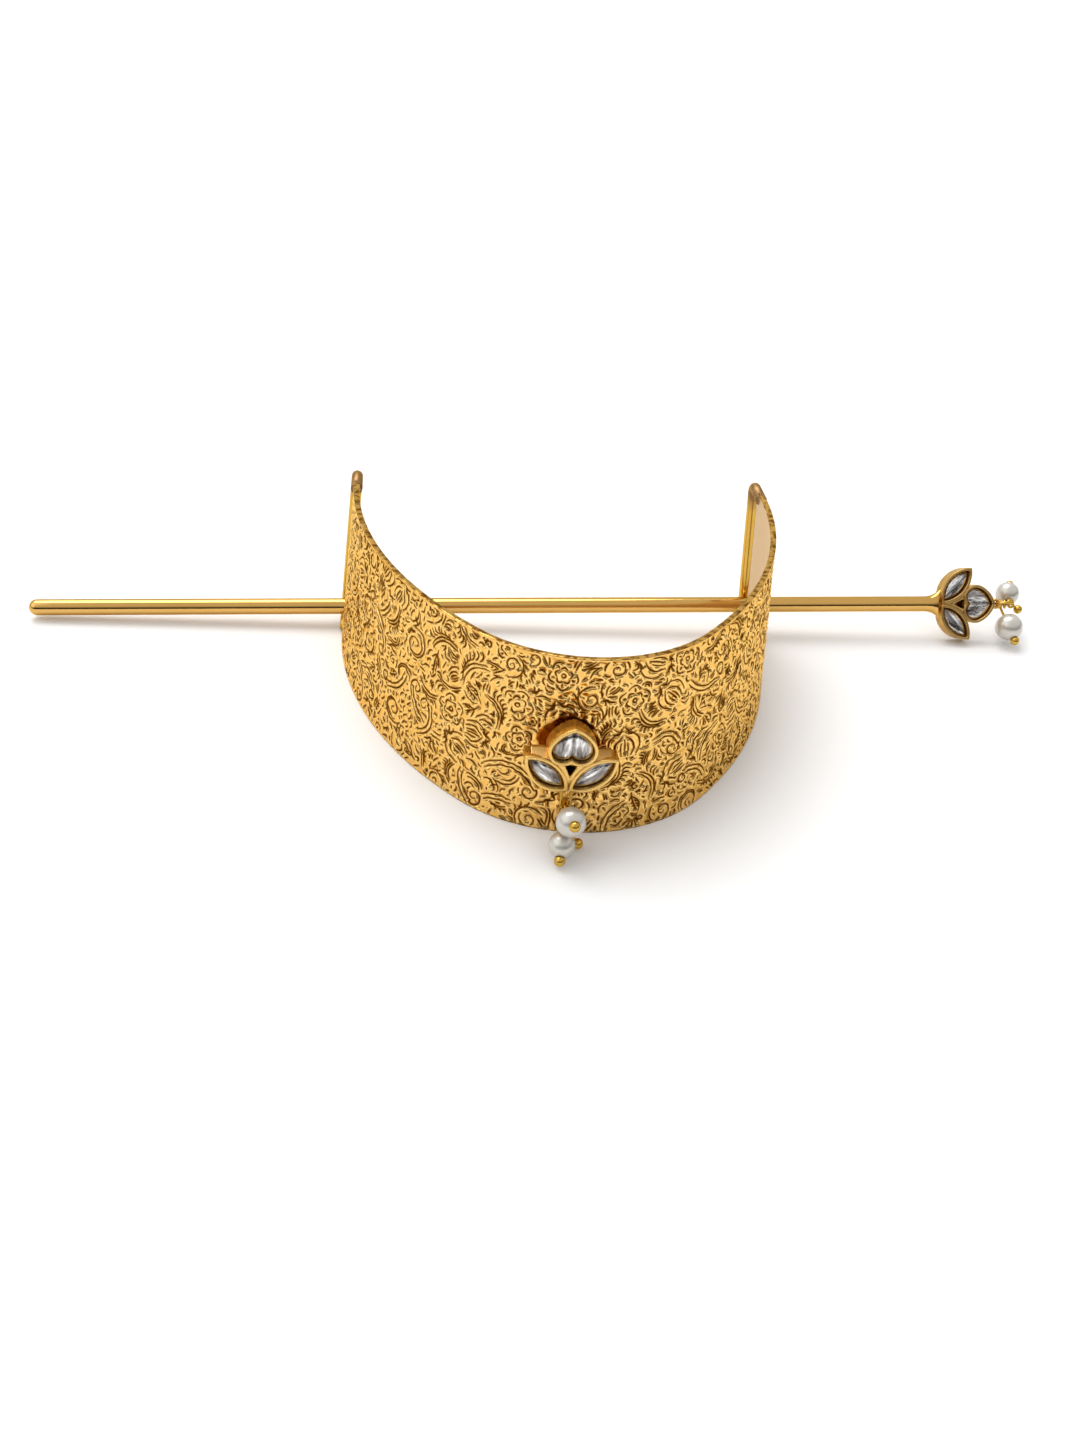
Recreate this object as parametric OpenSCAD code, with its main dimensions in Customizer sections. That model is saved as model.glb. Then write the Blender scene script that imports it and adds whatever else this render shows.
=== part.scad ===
// Bun pin: an engraved open cuff that goes round a hair bun, and a stick that passes through
// the slots in its two ends. Millimetres, +Z up, standing on the lower rim of the cuff.
// X runs along the stick towards its finial, and the cuff bulges towards -Y.

/* [Cuff] */
// Height of the band
band_h = 26.5; // [22:0.5:34]
// Thickness of the sheet metal
band_t = 0.9; // [0.7:0.1:1.4]
// Outer radius of the front curve, at the top rim
front_r = 21.6; // [20:0.2:24]
// Outer radius of each side curve, at the top rim
side_r = 59; // [50:1:70]
// Angle of the front curve, each way from the middle
front_a = 46; // [42:1:50]
// Angle of each side curve
side_a = 46; // [42:1:48]
// Outward slope of the wall, from the top rim down
flare_a = 4.6; // [3:0.1:6]
// Radius of the wire that closes each slot
wire_r = 0.875; // [0.8:0.025:1]
// Outer corner radius of the wire loops
loop_bend_r = 2; // [1.6:0.1:2.4]
// Clear width of each slot
slot_w = 3.5; // [3.2:0.1:4]

/* [Stick] */
// Radius of the rod
rod_r = 1.3; // [1.1:0.05:1.4]
// Where the rod's free tip is, from the middle of the cuff
tip_x = -83.9; // [-90:0.1:-75]
// Where the rod starts to flare out into the finial
flare_x = 65; // [60:0.1:70]
// Where the trefoil of the finial starts
finial_x = 67.3; // [64:0.1:74]
// Height of the rod's axis above the middle of the cuff's foot
rod_z = 4.15; // [4:0.05:6]
// Rise of the rod towards its finial
rod_tilt = 1.57; // [0:0.01:2]
// Turn of the finial's face up from the front
finial_turn = 28; // [25:1:40]

/* [Trefoil] */
// Thickness of the collet walls
wall = 0.45; // [0.4:0.05:0.55]
// Depth of the collets
collet_h = 2.7; // [2.4:0.1:3]
// Thickness of the collet floors
floor_t = 0.6; // [0.5:0.1:0.8]
// How far the stones sit below the collet rims
stone_sink = 0.35; // [0.2:0.05:0.5]
// Radius of the heart's two lobes
lobe_r = 1.65; // [1.6:0.05:1.85]
// Distance of each lobe from the middle line
lobe_x = 1.15; // [0.95:0.01:1.2]
// Distance from the lobes' centres to the tip of the heart
heart_tip = 3; // [2.9:0.1:3.5]
// Radius of the heart's two flanks
flank_r = 4.2; // [4:0.1:5]
// Distance from the foot of the trefoil to the lobes' centres
heart_y = 5.55; // [5.5:0.01:5.7]
// Sideways distance of the trefoil's middle from the middle of the cuff
motif_x = -3.3; // [-5:0.1:0]
// Height of the trefoil's foot on the cuff
motif_z = 9.8; // [9:0.1:10.5]
// Distance of the trefoil's face from the cuff
motif_gap = 3.95; // [3.8:0.05:4.5]
// Sideways lean of the cuff's trefoil, clockwise
lean_a = 2.3; // [0:0.1:4]

/* [Pearl drops] */
// Radius of the jump rings, to the middle of the wire
ring_r = 1.5; // [1.4:0.05:1.6]
// Radius of the wire of the jump rings
ring_wire = 0.25; // [0.2:0.01:0.27]
// Radius of the loops of the pins, to the middle of the wire
loop_r = 0.6; // [0.58:0.01:0.65]
// Radius of the wire of the pins
pin_wire = 0.22; // [0.18:0.01:0.23]
// Radius of the ball at the end of each pin
ball_r = 0.75; // [0.6:0.05:0.8]
// Clearance round a pin inside its pearl
drill_gap = 0.08; // [0.05:0.01:0.12]

/* [Hidden] */
// Middle of the part's box, so that the origin stands under the middle of the whole pin
box_mid = [-0.75, -27.96, 0];
gold = "gold";
glass = "silver";
pearl_white = "ivory";
side_mid = side_r - front_r;
slot_edge_y = -slot_w/2;
band_y = slot_edge_y - side_mid*cos(front_a) + side_r*cos(front_a + side_a);
leg_y = slot_w/2 + wire_r;
// Eyes of bent wire that the drops hang from: to the middle of the wire, and the wire
eye_r = 0.65;
eye_wire = 0.28;
// Post behind the cuff's trefoil, and the round plate behind each trefoil
post_r = 1.5;
backing_r = 3.1;
backing_t = 0.5;
backing_y = 4.2;
// How far the solder between the collets sits below their rims
solder_sink = 0.2;
// Thickness of the web between the rod and its trefoil
web_t = 2.4;
// Facets round each full circle of a stone's outline
stone_sides = 24;
small = 0.01;
// Angle by which the side curves run into the front curve
lap_a = 0.02;

// Outward shift of the wall at height z, from where it is at the top rim
function flare(z) = (band_h - z)*tan(flare_a);
// Centre of a side curve: side is 1 for +X and -1 for -X
function side_centre(side) = [-side*side_mid*sin(front_a), band_y + side_mid*cos(front_a), 0];
// Outer face of the front curve at height z and sideways place x
function front_face_y(x, z) = band_y - sqrt(pow(front_r + flare(z), 2) - x*x);
function unit(v) = v/norm(v);

// Puts children at p, with their Z along z_dir and their X as near x_hint as it can be
module place(p, z_dir, x_hint) {
    z = unit(z_dir);
    y = unit(cross(z, x_hint));
    x = cross(y, z);
    multmatrix([
        [x[0], y[0], z[0], p[0]],
        [x[1], y[1], z[1], p[1]],
        [x[2], y[2], z[2], p[2]],
        [0, 0, 0, 1]
    ]) children();
}

module torus(r, wire) {
    rotate_extrude($fn = 48) translate([r, 0]) circle(wire, $fn = 24);
}

// One stretch of the sloping wall: radius r at the top rim, from angle a0 through sweep a
module wall_arc(r, a0, a) {
    rotate([0, 0, a0]) rotate_extrude(angle = a, $fn = 180)
        polygon([
            [r + flare(0) - band_t, 0], [r + flare(0), 0],
            [r, band_h], [r - band_t, band_h]
        ]);
}

// Wire loop at one end of the band: a leg parallel to the end edge and an arm at its top and bottom
module wire_loop(side) {
    mid_r = side_r - band_t/2 + flare(wire_r);
    foot_x = side_centre(side)[0] + side*mid_r*sin(front_a + side_a);
    bend = loop_bend_r - wire_r;
    arm = leg_y - slot_edge_y - bend;
    run = (band_h - 2*wire_r)/cos(flare_a);
    // How far the arms run in beside the wall that they are soldered to
    into = 1;
    translate([foot_x, slot_edge_y, wire_r]) rotate([0, -side*flare_a, 0]) {
        for (z = [0, run]) translate([0, -into, z]) rotate([-90, 0, 0])
            cylinder(h = arm + into, r = wire_r, $fn = 32);
        translate([0, arm + bend, bend]) cylinder(h = run - 2*bend, r = wire_r, $fn = 32);
        for (corner = [[bend, 0], [run - bend, 90]])
            translate([0, arm, corner[0]]) rotate([0, 90, 0]) rotate([0, 0, corner[1]])
                rotate_extrude(angle = 90, $fn = 48) translate([bend, 0]) circle(wire_r, $fn = 32);
    }
}

// Outline of a leaf, grown by g: two arcs from its inner point to its outer point
module leaf_outline(g, sides) {
    inner = [0.55, 0];
    outer = [5.65, 4.25];
    half = norm(outer - inner)/2;
    mid = (inner + outer)/2;
    along = unit(outer - inner);
    up = [-along[1], along[0]];
    // How far each arc bulges from the straight line between the points
    sag_up = 1.4;
    sag_down = 1.55;
    r_up = (half*half + sag_up*sag_up)/(2*sag_up);
    r_down = (half*half + sag_down*sag_down)/(2*sag_down);
    intersection() {
        translate(mid - up*(r_up - sag_up)) circle(r_up + g, $fn = sides);
        translate(mid + up*(r_down - sag_down)) circle(r_down + g, $fn = sides);
    }
}

// Outline of the heart, grown by g. Its lobes' centres are on the X axis and its tip is up.
module heart_outline(g, sides) {
    // The flank circle passes the tip and touches the lobe from outside
    reach = flank_r - lobe_r;
    gap = norm([lobe_x, heart_tip]);
    along = (gap*gap + flank_r*flank_r - reach*reach)/(2*gap);
    off = sqrt(flank_r*flank_r - along*along);
    dir = [lobe_x, -heart_tip]/gap;
    centre = [0, heart_tip] + dir*along + [dir[1], -dir[0]]*off;
    touch = [lobe_x, 0] + unit([lobe_x, 0] - centre)*(lobe_r + g);
    for (side = [-1, 1]) translate([side*lobe_x, 0]) circle(lobe_r + g, $fn = sides);
    intersection() {
        translate([centre[0], centre[1]]) circle(flank_r + g, $fn = sides);
        translate([-centre[0], centre[1]]) circle(flank_r + g, $fn = sides);
        translate([-6, touch[1]]) square([12, 12]);
    }
}

// One of the three outlines of a trefoil: 0 is the heart, 1 and -1 are the leaves
module petal(which, g, sides = 96) {
    if (which == 0) translate([0, heart_y]) heart_outline(g, sides);
    else mirror([which < 0 ? 1 : 0, 0]) leaf_outline(g, sides);
}

// Three collets joined at their sides, with a round backing, before they are hollowed. Face at Z = 0.
module trefoil_body() {
    for (which = [-1, 0, 1]) translate([0, 0, -collet_h])
        linear_extrude(collet_h) petal(which, wall);
    translate([0, backing_y, -collet_h]) cylinder(h = backing_t, r = backing_r, $fn = 72);
    // Solder between the collets, round a small three-sided hole
    translate([0, 0, -collet_h]) linear_extrude(collet_h - solder_sink) difference() {
        translate([0, 2.4]) circle(2.1, $fn = 48);
        polygon([[-0.85, 3.5], [0, 1.7], [0.85, 3.5]]);
    }
}

// Hollows of the three collets, above their floors
module trefoil_cups() {
    for (which = [-1, 0, 1]) translate([0, 0, floor_t - collet_h])
        linear_extrude(collet_h) petal(which, 0);
}

// Cut stone: a girdle, a bevelled crown of flat facets and a flat table
module stone(which) {
    // Gap all round the stone, height of the crown and width of its bevel
    gap = 0.06;
    crown = 0.55;
    bevel = 0.75;
    base_z = floor_t - collet_h + gap;
    crown_z = -stone_sink - crown;
    translate([0, 0, base_z]) linear_extrude(crown_z - base_z) petal(which, -gap, stone_sides);
    for (half = which == 0 ? [-1, 1] : [0]) hull() {
        translate([0, 0, crown_z - small]) linear_extrude(small) stone_half(which, half, gap);
        translate([0, 0, -stone_sink - small]) linear_extrude(small)
            stone_half(which, half, gap + bevel);
    }
}

// Stone outline shrunk by g: a leaf whole, or the half of the heart on one side of its middle
module stone_half(which, half, g) {
    lap = 0.02;
    if (which != 0) petal(which, -g, stone_sides);
    else intersection() {
        petal(0, -g, stone_sides);
        translate([half > 0 ? -lap : lap - 6, 0]) square([6, 16]);
    }
}

// Places a trefoil on the cuff: its Y is up the wall and its Z is outwards
module on_cuff() {
    place(
        [motif_x, front_face_y(motif_x, motif_z) - motif_gap, motif_z],
        [0, -cos(flare_a), sin(flare_a)], [1, 0, -tan(lean_a)]
    ) children();
}

// Places a trefoil on the stick: its Y is along the rod and the rod's axis is at half its depth
module on_stick() {
    place(
        [finial_x, 0, 0] + [0, -cos(finial_turn), sin(finial_turn)]*collet_h/2,
        [0, -cos(finial_turn), sin(finial_turn)], [0, -sin(finial_turn), -cos(finial_turn)]
    ) children();
}

module along_stick() {
    translate([0, 0, rod_z]) rotate([0, -rod_tilt, 0]) children();
}

// Drops: where the rings hang, where each pin hooks in and where it ends
cuff_eye = [motif_x, front_face_y(motif_x, motif_z) - motif_gap + collet_h/2, motif_z - 0.95];
link_r = 0.6;
link_wire = 0.22;
link_half = 0.95;
cuff_ring_mid = cuff_eye - [0, 0, link_r + 2*link_half + ring_r];
cuff_hooks = [22, -30, -80];
cuff_ends = [[-3.03, -59.4, 6.8], [-3.8, -58.85, 2.45], [-1.4, -57, 1.1]];
cuff_pearl_r = [2, 1.8];
stick_eye = [finial_x + heart_y + heart_tip + 1.05, 0, 0];
stick_ring_mid = stick_eye + [ring_r, 0, 0];
stick_ring_up = unit([0, -0.82, 0.57]);
stick_hooks = [-60, -98, -20];
stick_ends = [[80.4, 3.55, -0.1], [79.1, -2.6, -3.15], [81.3, 0.2, -1.3]];
stick_pearl_r = [2, 2.3];

function cuff_hook(a) = cuff_ring_mid + ring_r*[0, -cos(a), sin(a)];
function cuff_hook_dir(a) = [0, sin(a), cos(a)];
function stick_hook(a) = stick_ring_mid + ring_r*(cos(a)*[1, 0, 0] + sin(a)*stick_ring_up);
function stick_hook_dir(a) = -sin(a)*[1, 0, 0] + cos(a)*stick_ring_up;

// A pin from its loop round a ring, at hook, to the ball beyond its pearl. ring_dir is the ring's wire.
module pin(hook, end, pearl_r, ring_dir) {
    reach = norm(end - hook) + (pearl_r > 0 ? pearl_r + ball_r/2 : 0);
    color(gold) place(hook, end - hook, ring_dir) {
        rotate([0, 90, 0]) torus(loop_r, pin_wire);
        translate([0, 0, loop_r]) cylinder(h = reach - loop_r, r = pin_wire, $fn = 24);
        translate([0, 0, reach]) sphere(ball_r, $fn = 32);
    }
}

// A pearl drilled along its pin, with a seat for the pin's ball
module pearl(hook, end, pearl_r) {
    color(pearl_white) place(end, end - hook, [1, 0, 0]) difference() {
        sphere(pearl_r, $fn = 48);
        cylinder(h = pearl_r*3, r = pin_wire + drill_gap, center = true, $fn = 24);
        translate([0, 0, pearl_r + ball_r/2]) sphere(ball_r + drill_gap, $fn = 32);
    }
}

module cuff() {
    color(gold) {
        translate([0, band_y, 0]) wall_arc(front_r, -90 - front_a, 2*front_a);
        translate(side_centre(1)) wall_arc(side_r, front_a - 90 - lap_a, side_a + lap_a);
        translate(side_centre(-1)) wall_arc(side_r, -90 - front_a - side_a, side_a + lap_a);
        for (side = [-1, 1]) wire_loop(side);
        on_cuff() {
            difference() {
                trefoil_body();
                trefoil_cups();
            }
            translate([0, backing_y, -motif_gap - band_t/2])
                cylinder(h = motif_gap + band_t/2 - collet_h + small, r = post_r, $fn = 48);
        }
        translate(cuff_eye) rotate([0, 90, 0]) torus(eye_r, eye_wire);
    }
}

// Rod with a rounded tip, and a flat web that flares out from its sides to the collets
module rod() {
    rotate([0, 90, 0]) rotate_extrude($fn = 96) polygon(concat(
        [[0, finial_x + 0.9], [0, tip_x]],
        [for (a = [15:15:90]) [rod_r*sin(a), tip_x + rod_r*(1 - cos(a))]],
        [[rod_r, finial_x + 0.9]]
    ));
    // Along the rod from where it flares, and out to the web's edge
    edge = [[-2, 0.4], [0, 1.15], [1, 1.5], [1.8, 2.1], [2.5, 2.9], [finial_x - flare_x + 1.1, 3.2]];
    rotate([90 - finial_turn, 0, 0]) translate([flare_x, 0, -web_t/2]) linear_extrude(web_t)
        polygon(concat(edge, [for (i = [len(edge) - 1:-1:0]) [edge[i][0], -edge[i][1]]]));
}

module stick() {
    color(gold) along_stick() {
        difference() {
            union() {
                rod();
                on_stick() trefoil_body();
            }
            on_stick() trefoil_cups();
        }
        place(stick_eye, [0, -cos(finial_turn), sin(finial_turn)], [1, 0, 0]) torus(eye_r, eye_wire);
    }
}

module cuff_stone(which) {
    color(glass) on_cuff() stone(which);
}

module stick_stone(which) {
    color(glass) along_stick() on_stick() stone(which);
}

// Long link between the eye under the cuff's trefoil and its ring
module cuff_link() {
    color(gold) translate(cuff_eye - [0, 0, link_r + link_half]) rotate([90, 0, 0]) {
        for (end = [0, 180]) rotate([0, 0, end]) translate([0, link_half, 0])
            rotate_extrude(angle = 180, $fn = 48) translate([link_r, 0]) circle(link_wire, $fn = 24);
        for (side = [-1, 1]) translate([side*link_r, link_half, 0]) rotate([90, 0, 0])
            cylinder(h = 2*link_half, r = link_wire, $fn = 24);
    }
}

module cuff_ring() {
    color(gold) translate(cuff_ring_mid) rotate([0, 90, 0]) torus(ring_r, ring_wire);
}

module stick_ring() {
    color(gold) along_stick() place(stick_ring_mid, cross([1, 0, 0], stick_ring_up), [1, 0, 0])
        torus(ring_r, ring_wire);
}

module cuff_pin(i) {
    a = cuff_hooks[i];
    pin(cuff_hook(a), cuff_ends[i], i < 2 ? cuff_pearl_r[i] : 0, cuff_hook_dir(a));
}

module cuff_pearl(i) {
    pearl(cuff_hook(cuff_hooks[i]), cuff_ends[i], cuff_pearl_r[i]);
}

module stick_pin(i) {
    a = stick_hooks[i];
    along_stick() pin(stick_hook(a), stick_ends[i], i < 2 ? stick_pearl_r[i] : 0, stick_hook_dir(a));
}

module stick_pearl(i) {
    along_stick() pearl(stick_hook(stick_hooks[i]), stick_ends[i], stick_pearl_r[i]);
}

translate(-box_mid) {
    cuff();
    cuff_stone(0);  // cuff_heart_stone
    cuff_stone(-1);  // cuff_left_stone
    cuff_stone(1);  // cuff_right_stone
    cuff_link();
    cuff_ring();
    cuff_pin(0);  // cuff_pin_1
    cuff_pin(1);  // cuff_pin_2
    cuff_pin(2);  // cuff_pin_3
    cuff_pearl(0);  // cuff_pearl_1
    cuff_pearl(1);  // cuff_pearl_2
    stick();
    stick_stone(0);  // stick_heart_stone
    stick_stone(1);  // stick_near_stone
    stick_stone(-1);  // stick_far_stone
    stick_ring();
    stick_pin(0);  // stick_pin_1
    stick_pin(1);  // stick_pin_2
    stick_pin(2);  // stick_pin_3
    stick_pearl(0);  // stick_pearl_1
    stick_pearl(1);  // stick_pearl_2
}
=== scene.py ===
from math import atan2, cos, pi, radians, sin, sqrt, tan

import bpy
import numpy as np
from mathutils import Matrix, Vector


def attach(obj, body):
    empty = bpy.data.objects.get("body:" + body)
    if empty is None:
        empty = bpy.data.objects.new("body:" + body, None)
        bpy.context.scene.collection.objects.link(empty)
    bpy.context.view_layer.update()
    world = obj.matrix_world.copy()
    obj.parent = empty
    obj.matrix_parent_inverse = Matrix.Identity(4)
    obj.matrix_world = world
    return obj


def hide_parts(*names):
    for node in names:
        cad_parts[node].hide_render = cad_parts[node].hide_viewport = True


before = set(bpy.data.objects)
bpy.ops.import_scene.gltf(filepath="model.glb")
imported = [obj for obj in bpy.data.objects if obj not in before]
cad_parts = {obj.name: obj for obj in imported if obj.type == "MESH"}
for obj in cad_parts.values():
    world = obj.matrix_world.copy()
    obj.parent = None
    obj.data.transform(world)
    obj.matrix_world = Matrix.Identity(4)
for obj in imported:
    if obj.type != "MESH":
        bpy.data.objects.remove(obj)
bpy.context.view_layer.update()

# ---------------------------------------------------------------- sizes, in millimetres
MM = 0.001
# Middle of the pin's box, measured from the middle of the cuff and the stick's axis
BOX_MID = np.array([-0.75, -27.96, 0.0])

# Band: a flaring U of one front arc and two side arcs, whose ends are at SLOT_EDGE
BAND_HIGH = 26.5
BAND_THICK = 0.9
FRONT_R = 21.6
SIDE_R = 59.0
FRONT_HALF = radians(46)
SIDE_SWEEP = radians(46)
FLARE = radians(4.6)
SLOT_EDGE = -1.75

# Wire loops at the band's ends, and the solder at their corners
WIRE_R = 0.875
LOOP_BEND = 2.0
LEG_Y = 2.625
WIRE_TUCK = 1.0
BLOB_R = 0.92
BLOB_LONG = 1.5
BLOB_FLAT = 0.8
BLOB_BACK = 0.15

# Stick: a tilted rod that widens and flattens from ROOT_FROM into the root of its finial
ROD_R = 1.3
TIP_X = -83.9
TIP_LONG = 4
ROOT_FROM = 64
ROOT_WIDER = 1.7
ROOT_THINNER = 0.9
ROOT_TUCK = 0.1
FINIAL_X = 67.3
ROD_Z = 4.15
ROD_TILT = radians(1.57)
FINIAL_TURN = radians(28)

# Trefoils: three collets on a round backing, in a plane with the leaves' root near its middle
WALL = 0.45
COLLET_DEEP = 2.7
LOBE_R = 1.65
LOBE_X = 1.15
HEART_TIP = 3.0
FLANK_R = 4.2
HEART_Y = 5.55
LEAF_ROOT = np.array([0.55, 0])
LEAF_TIP = np.array([5.65, 4.25])
LEAF_SAGS = (1.55, 1.4)
LEAF_UP = (-0.64, 0.768)
BACKING_R = 3.1
BACKING_THICK = 0.5
BACKING_Y = 4.2
# Rim of a collet: how far it is outside the stone's seat, and its height
COLLET_SECTION = (
    (WALL, -COLLET_DEEP), (WALL, -0.14), (WALL - 0.03, -0.05), (WALL - 0.11, 0),
    (0.12, 0), (0.04, -0.04), (0.0, -0.14), (0.0, 0.6 - COLLET_DEEP),
)
# Solder between the collets, round a small hole: way and distance of its three sides, and how
# sharp its corners are
HOLE_MID = np.array([0, 2.9])
HOLE_SIDES = ((pi/2, 0.6), (-0.44, 0.51), (pi + 0.44, 0.51))
HOLE_SHARP = 10
HOLE_FLOOR_R = 1.4
HOLE_FLOOR_THICK = 0.06
SOLDER_R = 2.9
SOLDER_OVERLAP = 0.2
SOLDER_SINK = 0.2
# Fillets beside the cuff's heart, on the upper side of each leaf: from and to which X, how far
# outside the leaf's seat, and in section the height over the rims and the top edge
FILLET_FROM = 2.8
FILLET_TO = 5.4
FILLET_OUT = 0.3
FILLET_LOW = -0.3
FILLET_SECTION = ((-2.4, 5.15), (-1.95, 5.15), (-1.85, 5.12), (-0.25, 4.5))

# Place of the cuff's trefoil on its post, and the soldered eyes
MOTIF_X = -3.3
MOTIF_Z = 9.8
LEAN = radians(2.3)
MOTIF_GAP = 3.95
POST_R = 1.5
EYE_R = 0.65
EYE_WIRE = 0.28
EYE_BELOW = 0.95
EYE_BEYOND = 1.05

# Radius that closes a turned or lofted form in its middle
NARROW = 0.01


def flare_out(z):
    """How far the wall stands out at height z from where it is at the top rim."""
    return (BAND_HIGH - z)*tan(FLARE)


SIDE_MID = SIDE_R - FRONT_R
BAND_Y = SLOT_EDGE - SIDE_MID*cos(FRONT_HALF) + SIDE_R*cos(FRONT_HALF + SIDE_SWEEP)
MID_OUT = flare_out(BAND_HIGH/2)
FRONT_LONG = FRONT_HALF*(FRONT_R + MID_OUT)
BAND_LONG = FRONT_LONG + SIDE_SWEEP*(SIDE_R + MID_OUT)
SLOPE_HIGH = BAND_HIGH/cos(FLARE)


# ---------------------------------------------------------------- finishes
class Flow:
    """A shader socket's value, for sums."""

    def __init__(self, nodes, socket):
        self.nodes, self.socket = nodes, socket

    def sum(self, operation, first, second):
        return self.nodes.node("Math", {0: first, 1: second}, operation=operation)

    def __add__(self, other):
        return self.sum("ADD", self, other)

    def __sub__(self, other):
        return self.sum("SUBTRACT", self, other)

    def __rsub__(self, other):
        return self.sum("SUBTRACT", other, self)

    def __mul__(self, other):
        return self.sum("MULTIPLY", self, other)

    __radd__ = __add__
    __rmul__ = __mul__

    def clamp(self):
        return self.nodes.node("Clamp", {"Value": self})


class Nodes:
    """The nodes of a finish or of the room, and the shader that they feed."""

    def __init__(self, tree, shader):
        self.tree, self.shader = tree, tree.nodes[shader]

    def node(self, kind, inputs, output=0, stops=None, **settings):
        """Makes a node: settings first, then the values or links of its sockets."""
        made = self.tree.nodes.new("ShaderNode" + kind)
        for key, value in settings.items():
            setattr(made, key, value)
        if stops:
            elements = made.color_ramp.elements
            while len(elements) < len(stops):
                elements.new(0.5)
            for element, (place, colour) in zip(elements, stops):
                element.position, element.color = place, (*colour, 1)
        for key, value in inputs.items():
            self.feed(made.inputs[key], value)
        return Flow(self, made.outputs[output])

    def feed(self, socket, value):
        """Links a flow to a socket, or sets its value; a colour of three numbers is opaque."""
        if isinstance(value, Flow):
            self.tree.links.new(value.socket, socket)
        elif socket.type == "RGBA":
            socket.default_value = (*value, 1)
        else:
            socket.default_value = value

    def set(self, **sockets):
        """Sets the shader's sockets, with _ for a space in a socket's name."""
        for key, value in sockets.items():
            self.feed(self.shader.inputs[key.replace("_", " ")], value)


class Finish(Nodes):
    """A material whose surface is one Principled shader."""

    def __init__(self, name, **sockets):
        self.material = bpy.data.materials.new(name)
        self.material.use_nodes = True
        super().__init__(self.material.node_tree, "Principled BSDF")
        self.set(**sockets)

    def place(self):
        return self.node("TexCoord", {}, output="Object")

    def mark(self, name):
        """A value that a piece's mesh carries at each point."""
        return self.node("Attribute", {}, output="Fac", attribute_name=name)

    def noise(self, size_mm, detail=2.0, rough=0.5):
        """Noise with features of that size, from 0 to 1."""
        return self.node("TexNoise", {
            "Vector": self.place(), "Scale": 1/(size_mm*MM), "Detail": detail, "Roughness": rough,
        })

    def blend(self, share, a, b):
        """Colour from a to b as share goes from 0 to 1."""
        return self.node("Mix", {0: share, 6: a, 7: b}, output=2, data_type="RGBA")

    def bump(self, height, mm, strength):
        return self.node("Bump", {"Strength": strength, "Distance": mm*MM, "Height": height})


# Tone of gold plate seen along its surface
EDGE_TINT = (1.0, 0.82, 0.5)


def engraved_gold():
    """Antique gold plate: light on raised metal, with a painted highlight on the lips of the cuts
    and painted shade beside them; dark brown in the cuts, partly patina and partly painted shade;
    bare solder at the post, painted dark red-brown as the trefoil's shade and reflection.
    """
    f = Finish("engraved_gold", Metallic=1.0, Specular_Tint=EDGE_TINT)
    cut, low, lip_highlight, smooth = (f.mark(name) for name in ("cut", "low", "lip_highlight", "smooth"))
    # Painted highlight on the cuts' lips, painted shade beside the cuts, and the cuts' dark
    # brown, partly patina and partly painted shade
    lit_lip, shaded_side, cut_brown = (1.0, 0.72, 0.29), (0.42, 0.16, 0.008), (0.10, 0.028, 0.001)
    gold = f.blend(f.noise(7, 2), (0.80, 0.445, 0.096), (0.92, 0.555, 0.16))
    gold = f.blend(lip_highlight*0.7, gold, lit_lip)
    gold = f.blend(low*0.75, gold, shaded_side)
    # Dark red-brown of the smooth solder round the post: painted shade of the trefoil and its
    # painted reflection in the band
    solder = f.blend(f.noise(1.6, 2), (0.20, 0.06, 0.008), (0.46, 0.21, 0.03))
    gold = f.blend(smooth, gold, solder)
    f.set(
        # The cuts' dark brown is partly patina and partly painted shade of the recess
        Base_Color=f.blend((cut*1.2).clamp(), gold, cut_brown),
        Roughness=0.16 + f.noise(0.5, 3)*0.1 + cut*0.3 - smooth*0.06,
        Normal=f.bump(f.noise(0.7, 3, 0.6), 0.05, 0.5),
    )
    return f.material


def plain_gold(name, dark, light, rough, metallic=1.0):
    """Gold plate without engraving: slow changes of tone and fine wear."""
    f = Finish(name, Metallic=metallic, Specular_Tint=EDGE_TINT)
    f.set(
        Base_Color=f.blend(f.noise(5, 3), dark, light),
        Roughness=rough + f.noise(0.7, 3)*0.08,
        Normal=f.bump(f.noise(2.5, 2), 0.03, 0.3),
    )
    return f.material


def rim_gold():
    """Hand-filed rim of the band: gold on its high spots, brown in its file marks and dents."""
    f = Finish("rim_gold", Metallic=1.0, Specular_Tint=EDGE_TINT)
    dents = f.noise(0.9, 3, 0.6)
    high = ((dents - 0.41)*6.0).clamp()
    f.set(
        Base_Color=f.blend(high, (0.15, 0.06, 0.012), (0.66, 0.395, 0.11)),
        Roughness=0.36 - high*0.12,
        Normal=f.bump(dents, 0.08, 0.5),
    )
    return f.material


# Where the torch has browned the loops: from this height, over this length, with this waviness
BROWN_FROM = 22.6*MM
BROWN_OVER = 2.2*MM
BROWN_WAVE = 2*MM


def loop_gold():
    """Wire of the end loops: bright down its leg, browned by the torch round its top corner."""
    f = Finish("loop_gold", Metallic=1.0, Specular_Tint=EDGE_TINT)
    height = f.node("SeparateXYZ", {"Vector": f.place()}, output="Z")
    browned = ((height + f.noise(1.5, 2)*BROWN_WAVE - BROWN_FROM)*(1/BROWN_OVER)).clamp()
    bright = f.blend(f.noise(5, 3), (0.56, 0.33, 0.055), (0.72, 0.46, 0.10))
    brown = f.blend(f.noise(1.2, 2), (0.20, 0.105, 0.04), (0.43, 0.26, 0.12))
    f.set(
        Base_Color=f.blend(browned, bright, brown),
        Roughness=0.16 + browned*0.22 + f.noise(0.7, 3)*0.06,
        Normal=f.bump(f.noise(2.5, 2), 0.03, 0.3),
    )
    return f.material


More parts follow.
